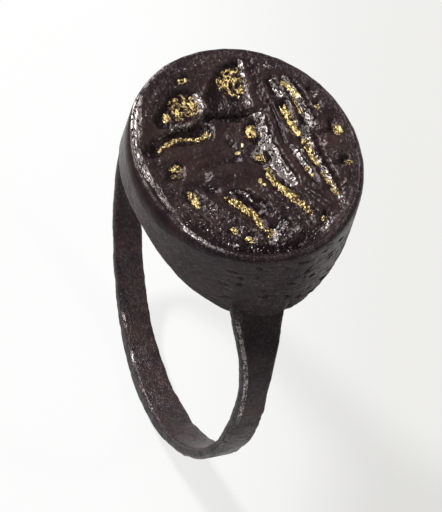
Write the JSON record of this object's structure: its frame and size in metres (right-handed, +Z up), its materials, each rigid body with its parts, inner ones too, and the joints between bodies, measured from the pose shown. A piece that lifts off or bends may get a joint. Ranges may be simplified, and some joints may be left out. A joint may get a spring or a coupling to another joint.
{
  "type": "finger ring",
  "caption": "Narrow strap hoop widening into shoulders that carry a tall oval drum bezel, with a flat sunk seal face holding patches of gilding.",
  "frame": {"origin": "under the middle of the hoop, at the level of its lowest point", "axes": "+Z up through the bezel's face, +Y along the finger, +X across the hoop towards the near shoulder"},
  "size_m": [0.0216, 0.013, 0.0233],
  "materials": {
    "patinated_copper_alloy": "nearly black brown patina, worn silvery on the rim and edges",
    "gilding": "bright worn gold, uneven",
    "solder": "dark tarnished solder",
    "filling": "matt brown, set hard",
    "bedding": "matt grey"
  },
  "bodies": {
    "root": {"hoop": "patinated_copper_alloy", "bezel_collar": "patinated_copper_alloy", "bezel_base_plate": "patinated_copper_alloy", "bezel_core": "filling", "seal_bedding": "bedding", "seal_plate": "patinated_copper_alloy", "shoulder_solder_right": "solder", "shoulder_solder_left": "solder", "gilding_round_hollow": "gilding", "gilding_round_hollow_edge": "gilding", "gilding_wave": "gilding", "gilding_triangle": "gilding", "gilding_left_stroke": "gilding", "gilding_right_stroke_top": "gilding", "gilding_right_stroke_middle": "gilding", "gilding_right_stroke_foot": "gilding", "gilding_short_stroke": "gilding", "gilding_body_shoulder": "gilding", "gilding_body_waist": "gilding", "gilding_right_slant": "gilding", "gilding_left_slant": "gilding", "gilding_lower_hollow": "gilding", "gilding_eye": "gilding", "gilding_eye_corner": "gilding", "gilding_crescent": "gilding", "gilding_left_pit": "gilding", "gilding_low_pit": "gilding", "gilding_foot_pit": "gilding", "gilding_right_pit": "gilding", "gilding_rim_pit": "gilding", "gilding_rim_pit_low": "gilding", "gilding_top_pit": "gilding"}
  },
  "joints": []
}
